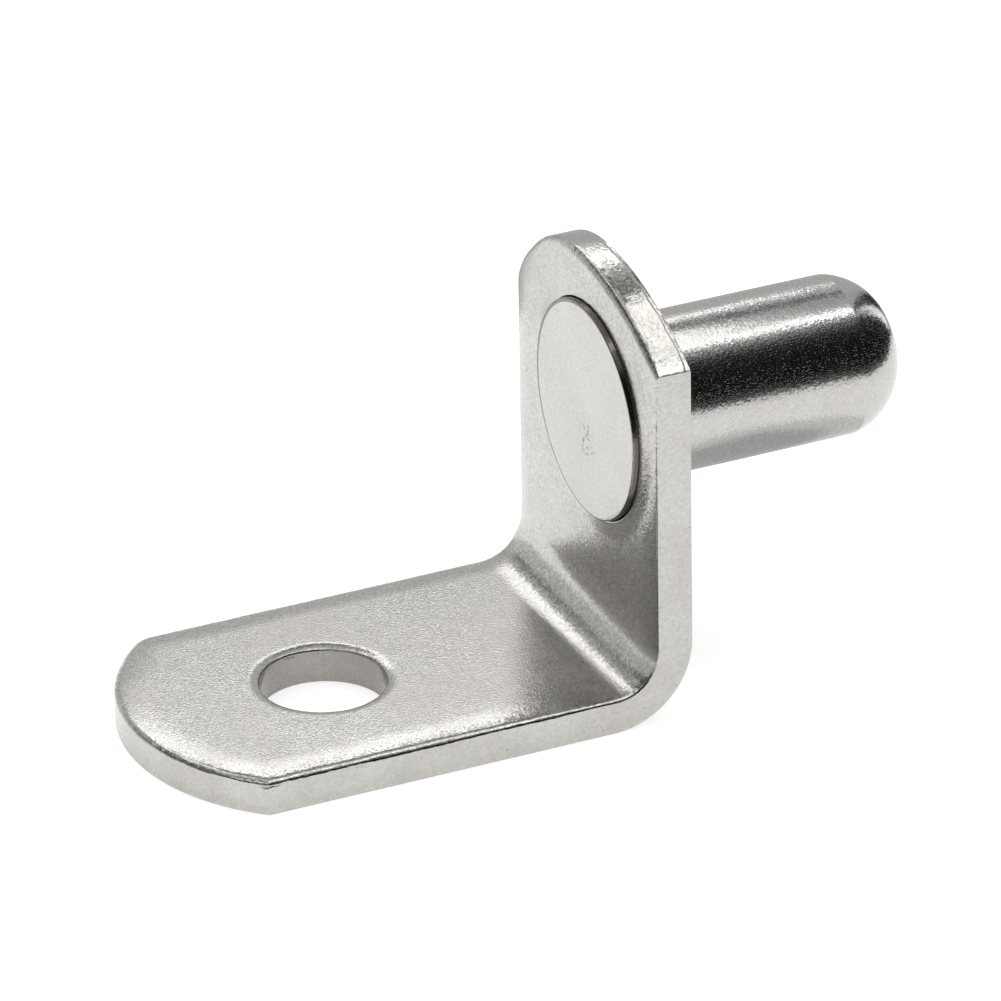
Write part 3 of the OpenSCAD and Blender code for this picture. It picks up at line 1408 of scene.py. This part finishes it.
    def fold(self, piece: bpy.types.Object) -> None:
        """Folds the flat blank round the bend, with a Geometry Nodes tree, and puts it in place.

        Args:
            piece: The flat blank.
        """
        shop = Workshop("fold_the_strip")
        shop.dial("Thickness", "NodeSocketFloat", self.thickness * MM)
        shop.dial("Inner Radius", "NodeSocketFloat", self.inner_radius * MM)
        shop.dial("Outer Radius", "NodeSocketFloat", self.outer_radius * MM)
        shop.dial("Place", "NodeSocketVector", self.origin)
        shop.dial("Face Plating", "NodeSocketMaterial", BRACKET_FACE.material())
        shop.dial("Edge Plating", "NodeSocketMaterial", BRACKET_EDGE.material())
        desk, given = shop.desk, shop.inputs()
        sizes = ("Thickness", "Inner Radius", "Outer Radius")
        thick, inside, outside = (desk.signal(given, name) for name in sizes)
        flat = desk.node("GeometryNodeInputPosition")
        split = desk.node("ShaderNodeSeparateXYZ", {0: flat.outputs[0]})
        along, across, height = (desk.signal(split, axis) for axis in "XYZ")
        reach = desk.maths("MAXIMUM", desk.maths("MINIMUM", along, outside), outside * -1.0)
        turned = (reach + outside) / (outside * 2.0)
        leg_rest, upright_rest = (along + outside).below(0.0), (along - outside).above(0.0)
        out_angle = turned * RIGHT_ANGLE
        out_x = outside * (out_angle.sine() - 1.0) + leg_rest
        out_z = outside * (1.0 - out_angle.cosine()) + upright_rest
        straight = outside - thick - inside
        travel = turned * (straight * 2.0 + inside * RIGHT_ANGLE)
        first = desk.maths("MINIMUM", travel, straight)
        in_angle = ((travel - straight) / inside).above(0.0).below(RIGHT_ANGLE)
        second = (travel - straight - inside * RIGHT_ANGLE).above(0.0)
        in_x = first - outside + inside * in_angle.sine() + leg_rest
        in_z = thick + inside * (1.0 - in_angle.cosine()) + second + upright_rest
        share = height / thick
        x, z = out_x + (in_x - out_x) * share, out_z + (in_z - out_z) * share
        folded = desk.node("ShaderNodeCombineXYZ", {0: x, 1: across, 2: z})
        placed = desk.vector("ADD", folded.outputs[0], given.outputs["Place"])
        blank = given.outputs["Geometry"]
        moved = desk.node("GeometryNodeSetPosition", {"Geometry": blank, "Position": placed})
        shop.finish(moved.outputs[0], given.outputs["Face Plating"], given.outputs["Edge Plating"])
        shop.run_on(piece)


# -----------------------------------------------------------------------------
# Pin
# -----------------------------------------------------------------------------

# Radius, in metres, of the circle that the half section is swept round.
HUB = MM * MM


@dataclass
class Pin:
    """The headed pin: a thin head on the bracket's inner face, a seat in its hole and a round-nosed peg."""

    peg_radius: float = 3.125
    seat_radius: float = 3.325
    plate: float = STRIP_THICKNESS
    head_round: float = 0.07
    seat_bevel: float = 0.03
    nose_length: float = 2.1
    nose_radius: float = 2.6
    nose_flat: float = 0.9
    nose_blend: float = 0.12
    flat_blend: float = 0.08
    """Reach of the eased creases at the nose's start and at its flat."""
    segments: int = 256
    head_radius: float = HEAD_RADIUS
    head_face: float = (PIN_LOW.x - BRACKET_HIGH.x) / MM
    """Place of the head's face along the axis, from the bracket's outer face."""
    reach: float = (PIN_HIGH.x - BRACKET_HIGH.x) / MM
    """Place of the nose's end along the axis."""
    axis_start: Place = (BRACKET_HIGH.x, (PIN_HIGH.y + PIN_LOW.y) / 2, (PIN_HIGH.z + PIN_LOW.z) / 2)
    """Where the axis leaves the bracket's outer face, in metres."""

    def build(self) -> bpy.types.Object:
        """Makes the pin's object, turned and in place.

        Returns:
            The object.
        """
        path = self.profile()
        mesh = bpy.data.meshes.new("headed_pin")
        links = [(n, n + 1) for n in range(len(path) - 1)]
        mesh.from_pydata([(r * MM, x * MM, 0.0) for x, r in path], links, [])
        piece = new_object("headed_pin", mesh)
        self.turn(piece)
        return piece

    def dress(self, piece: bpy.types.Object) -> None:
        """Sets the piece on its body.

        Args:
            piece: The pin's object.
        """
        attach(piece, "root")
        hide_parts(Cad.PIN.value)

    def profile(self) -> list[Spot]:
        """Half section of the pin.

        Returns:
            Distance along the axis and radius of each point, from the head's middle to the nose's middle.
        """
        head, seat, peg, bevel = self.head_radius, self.seat_radius, self.peg_radius, self.seat_bevel
        inner = -self.plate
        points = [(self.head_face, r) for r in (0.0, 0.8, 1.8, 2.8, 3.5, head - 3 * self.head_round)]
        centre = (self.head_face + self.head_round, head - self.head_round)
        points += self.bow(centre, self.head_round, np.linspace(HALF_TURN, RIGHT_ANGLE, 8))
        # A point close to each corner on either side keeps the smooth shading flat up to it.
        points += [(inner - 0.06, head), (inner - 0.01, head), (inner, head - 0.01), (inner, seat + 0.02)]
        points += [(inner, seat), (inner + 0.03, seat), (-bevel - 0.03, seat), (-bevel, seat)]
        points += [(0.0, seat - bevel), (0.0, peg + 0.04), (0.01, peg + 0.01), (0.04, peg), (0.1, peg)]
        return points + self.nose()

    @staticmethod
    def bow(centre: Spot, radius: float, angles: np.ndarray) -> list[Spot]:
        """Points of an arc at the given angles."""
        return [(centre[0] + radius * math.cos(a), centre[1] + radius * math.sin(a)) for a in angles]

    def nose(self) -> list[Spot]:
        """Peg and nose: one arc from the peg's side to the rim of a small flat, with both creases eased.

        Returns:
            Points from the peg's side to the nose's middle.
        """
        start = (self.reach - self.nose_length, self.peg_radius)
        end = (self.reach, self.nose_flat)
        chord = math.dist(start, end)
        middle = ((start[0] + end[0]) / 2, (start[1] + end[1]) / 2)
        lift = math.sqrt(self.nose_radius**2 - (chord / 2) ** 2)
        across = ((end[1] - start[1]) / chord, -(end[0] - start[0]) / chord)
        centre = (middle[0] + across[0] * lift, middle[1] + across[1] * lift)
        first = math.atan2(start[1] - centre[1], start[0] - centre[0])
        last = math.atan2(end[1] - centre[1], end[0] - centre[0])
        arc = self.bow(centre, self.nose_radius, np.linspace(first, last, 40))
        body = [(x, self.peg_radius) for x in np.linspace(0.3, start[0] - self.nose_blend, 10)]
        ease = self.eased(body[-1], start, arc, self.nose_blend)
        rim = self.eased(arc[-2], arc[-1], [arc[-1], (self.reach, 0.0)], self.flat_blend)
        kept = [p for p in arc[:-1] if math.dist(p, start) > self.nose_blend]
        return body + ease + kept + rim + [(self.reach, 0.5), (self.reach, 0.0)]

    @staticmethod
    def eased(before: Spot, corner: Spot, after: Sequence[Spot], reach: float) -> list[Spot]:
        """Rounds a crease off with a short curve.

        Args:
            before: A point ahead of the crease.
            corner: The crease.
            after: The line behind it.
            reach: How far from the crease the curve starts and ends.

        Returns:
            Points on the curve.
        """
        back = math.dist(before, corner)
        start = [corner[n] + (before[n] - corner[n]) * min(1.0, reach / back) for n in (0, 1)]
        ahead = next((p for p in after if math.dist(p, corner) >= reach), after[-1])
        gap = math.dist(ahead, corner)
        end = [corner[n] + (ahead[n] - corner[n]) * min(1.0, reach / gap) for n in (0, 1)]
        return [
            tuple((1 - s) ** 2 * start[n] + 2 * s * (1 - s) * corner[n] + s * s * end[n] for n in (0, 1))
            for s in (0.15, 0.35, 0.5, 0.65, 0.85)
        ]

    def turn(self, piece: bpy.types.Object) -> None:
        """Turns the half section into the pin, with a Geometry Nodes tree, and puts it in place.

        Args:
            piece: The half section, with its radius along X and the pin's axis along Y.
        """
        shop = Workshop("turn_the_pin")
        shop.dial("Segments", "NodeSocketInt", self.segments)
        shop.dial("Axis Start", "NodeSocketVector", self.axis_start)
        shop.dial("Plating", "NodeSocketMaterial", PIN_SKIN.material())
        desk, given = shop.desk, shop.inputs()
        section = desk.node("GeometryNodeMeshToCurve", {"Mesh": given.outputs["Geometry"]})
        ring = {"Resolution": given.outputs["Segments"], "Radius": HUB}
        hub = desk.node("GeometryNodeCurvePrimitiveCircle", ring, mode="RADIUS")
        sweep = {"Curve": hub.outputs["Curve"], "Profile Curve": section.outputs["Curve"]}
        swept = desk.node("GeometryNodeCurveToMesh", sweep)
        poles = {"Geometry": swept.outputs["Mesh"], "Distance": 4 * HUB}
        joined = desk.node("GeometryNodeMergeByDistance", poles)
        place = {
            "Geometry": joined.outputs["Geometry"],
            "Translation": given.outputs["Axis Start"],
            "Rotation": (0.0, -RIGHT_ANGLE, 0.0),
        }
        laid = desk.node("GeometryNodeTransform", place)
        shop.finish(laid.outputs[0], given.outputs["Plating"])
        shop.run_on(piece)


# -----------------------------------------------------------------------------
# Studio
# -----------------------------------------------------------------------------


def direction(bearing: float, rising: float) -> Vector:
    """Unit vector at a bearing over the floor, from +Y towards +X, and a rise, both in degrees."""
    a, e = math.radians(bearing), math.radians(rising)
    return Vector((math.sin(a) * math.cos(e), math.cos(a) * math.cos(e), math.sin(e)))


@dataclass(frozen=True)
class Softbox:
    """Flat light at a distance from the object. Directions are in degrees, sizes in metres."""

    name: str
    bearing: float
    """Direction over the floor, from +Y towards +X."""
    rise: float
    """Height over the horizon."""
    distance: float
    width: float
    depth: float
    brightness: float
    """How bright its face looks, where white paper in plain light is 1."""
    tilt: float = 0.0
    """Turn about the line to the object, right end down."""

    def place(self, centre: Vector) -> tuple[Vector, Matrix]:
        """Where it stands and how it is turned.

        Args:
            centre: The point that it faces.

        Returns:
            Its place and its rotation.
        """
        a, t = math.radians(self.bearing), math.radians(self.tilt)
        away = direction(self.bearing, self.rise)
        level = Vector((math.cos(a), -math.sin(a), 0.0))
        down = away.cross(level)
        side = level * math.cos(t) + down * math.sin(t)
        turn = Matrix((side, away.cross(side), away)).transposed()
        return centre + away * self.distance, turn

    def build(self, centre: Vector) -> None:
        """Adds the light to the scene.

        Args:
            centre: The point that it faces.
        """
        light = bpy.data.lights.new(self.name, "AREA")
        light.shape = "RECTANGLE"
        light.size, light.size_y = self.width, self.depth
        light.energy = self.brightness * math.pi * self.width * self.depth
        made = bpy.data.objects.new(self.name, light)
        where, turn = self.place(centre)
        made.matrix_world = Matrix.Translation(where) @ turn.to_4x4()
        bpy.context.scene.collection.objects.link(made)


@dataclass(frozen=True)
class Card:
    """Curved card that stands round the object for the metal to mirror. Directions are in degrees."""

    name: str
    start: float
    """Direction over the floor of its first edge, from +Y towards +X."""
    end: float
    low: float
    """Rise of its lower edge over the horizon."""
    high: float
    near: float
    """Distance of its lower edge, in metres."""
    far: float
    """Distance of its upper edge, in metres."""
    shade: float
    """How bright it looks, where white paper in plain light is 1."""
    lean: float = 0.0
    """How far its upper edge is turned on from its lower edge."""
    steps: int = 24

    def build(self, centre: Vector) -> None:
        """Adds the card to the scene.

        Args:
            centre: The point that it faces.
        """
        corners = []
        for bearing in np.linspace(self.start, self.end, self.steps):
            corners.append(centre + direction(bearing, self.low) * self.near)
            corners.append(centre + direction(bearing + self.lean, self.high) * self.far)
        mesh = bpy.data.meshes.new(self.name)
        mesh.from_pydata(corners, [], [(n, n + 2, n + 3, n + 1) for n in range(0, 2 * self.steps - 2, 2)])
        mesh.materials.append(CardPaint(self.name, self.shade).material())
        made = new_object(self.name, mesh)
        made.visible_camera = False
        made.visible_shadow = False
        made.visible_diffuse = False


@dataclass
class Studio:
    """Pale floor, soft lights, the cards that the metal mirrors, and the camera."""

    room: float = 0.62
    """Brightness of the even light from all sides."""
    lights: tuple[Softbox, ...] = (
        Softbox("top_softbox", 180.0, 86.0, distance=0.9, width=1.6, depth=0.13, brightness=2.6),
        Softbox("back_strip", 10.5, 37.8, distance=0.3, width=0.172, depth=0.05, brightness=2.42, tilt=6.0),
        Softbox("left_strip", -20.0, 55.0, distance=1.0, width=0.42, depth=0.14, brightness=1.75, tilt=56.0),
    )
    cards: tuple[Card, ...] = (
        Card("dark_front", 54.0, 215.0, low=-3.5, high=60.0, near=0.048, far=0.15, shade=0.01, lean=60.0),
        Card("white_flag", 64.0, 72.0, low=-3.5, high=60.0, near=0.047, far=0.147, shade=1.5, lean=60.0),
        Card("dim_front", 95.0, 190.0, low=50.0, high=60.0, near=0.1, far=0.1, shade=0.16, lean=12.0),
        Card("dark_wedge", 50.0, 70.0, low=-8.0, high=-2.0, near=0.0475, far=0.0475, shade=0.1, lean=4.0),
        Card("grey_back", -6.0, 53.0, low=-15.0, high=10.0, near=0.029, far=0.3, shade=0.56),
        Card("dark_corner", -64.0, -21.0, low=26.0, high=54.0, near=1.4, far=1.4, shade=0.04),
        Card("dark_ceiling", -10.0, 44.0, low=46.0, high=62.0, near=1.4, far=1.4, shade=0.14),
        Card("grey_ceiling", 44.0, 72.0, low=48.0, high=64.0, near=1.4, far=1.4, shade=0.5),
        Card("crown_flag", 58.0, 106.0, low=56.0, high=68.0, near=0.032, far=0.032, shade=2.1),
        Card("pale_gap", -38.0, -19.0, low=-6.0, high=20.0, near=1.4, far=1.4, shade=0.85, lean=6.0),
        Card("edge_flag", -36.0, -27.0, low=34.0, high=41.0, near=1.3, far=1.3, shade=1.8),
        # Painted shadow: these two grey sheets lie on the floor under the pin and stand for its shadow there;
        # only the metal's reflections see them.
        Card("pin_shade", 50.0, 132.0, low=-50.0, high=-24.2, near=0.0107, far=0.02, shade=0.85),
        Card("pin_shadow_core", 58.0, 124.0, low=-50.0, high=-27.0, near=0.0105, far=0.0177, shade=0.55),
        Card("dark_left", -130.0, -66.0, low=14.0, high=78.0, near=1.4, far=1.4, shade=0.1),
    )
    azimuth: float = -24.065
    elevation: float = 27.785
    roll: float = -0.939
    distance: float = 347.862
    lens: float = 330.2
    aim: Place = (-0.2, 0.0, -0.4)
    """What the camera looks at, in millimetres from the middle of the object's box."""
    aim_up: float = -0.552
    """How far the camera is moved along its own upright, in millimetres."""
    floor_size: float = 3.0

    def build(self) -> None:
        """Sets up the floor, the world, the lights, the cards and the camera."""
        low, high = CAD_BOX
        centre = (low + high) / 2
        self.build_floor(low.z)
        self.build_world()
        for thing in self.lights + self.cards:
            thing.build(centre)
        self.build_camera(centre)
        view = bpy.context.scene.view_settings
        view.view_transform = "Standard"

    def build_floor(self, level: float) -> None:
        """Adds the floor.

        Args:
            level: Its height.
        """
        half = self.floor_size / 2
        mesh = bpy.data.meshes.new("floor")
        corners = [(-half, -half, level), (half, -half, level), (half, half, level), (-half, half, level)]
        mesh.from_pydata(corners, [], [(0, 1, 2, 3)])
        mesh.materials.append(FloorPaint().material())
        new_object("floor", mesh)

    def build_world(self) -> None:
        """Fills the room with even grey light."""
        world = bpy.data.worlds.new("room")
        bpy.context.scene.world = world
        desk = cleared_desk(world)
        room = desk.node("ShaderNodeBackground", {"Color": grey(1.0), "Strength": self.room})
        desk.node("ShaderNodeOutputWorld", {"Surface": room.outputs[0]})

    def build_camera(self, centre: Vector) -> None:
        """Adds the camera.

        Args:
            centre: Middle of the object's box.
        """
        a, e, r = (math.radians(v) for v in (self.azimuth, self.elevation, self.roll))
        back = Vector((math.sin(a) * math.cos(e), -math.cos(a) * math.cos(e), math.sin(e)))
        level = Vector((math.cos(a), math.sin(a), 0.0))
        upward = back.cross(level)
        right = level * math.cos(r) + upward * math.sin(r)
        up = upward * math.cos(r) - level * math.sin(r)
        data = bpy.data.cameras.new("camera")
        data.sensor_width = 36.0
        data.lens = self.lens
        data.clip_start, data.clip_end = 0.01, 20.0
        camera = bpy.data.objects.new("camera", data)
        where = centre + (Vector(self.aim) + up * self.aim_up + back * self.distance) * MM
        camera.matrix_world = Matrix.Translation(where) @ Matrix((right, up, back)).transposed().to_4x4()
        bpy.context.scene.collection.objects.link(camera)
        bpy.context.scene.camera = camera


def main() -> None:
    """Builds each sub-assembly and the studio, in order."""
    logging.basicConfig(level=logging.INFO, format="%(name)s: %(message)s")
    for maker in (Bracket(), Pin()):
        piece = maker.build()
        maker.dress(piece)
        LOG.info("%s: %d faces", piece.name, len(piece.data.polygons))
    Studio().build()
    LOG.info("studio ready")


if __name__ == "__main__":
    main()
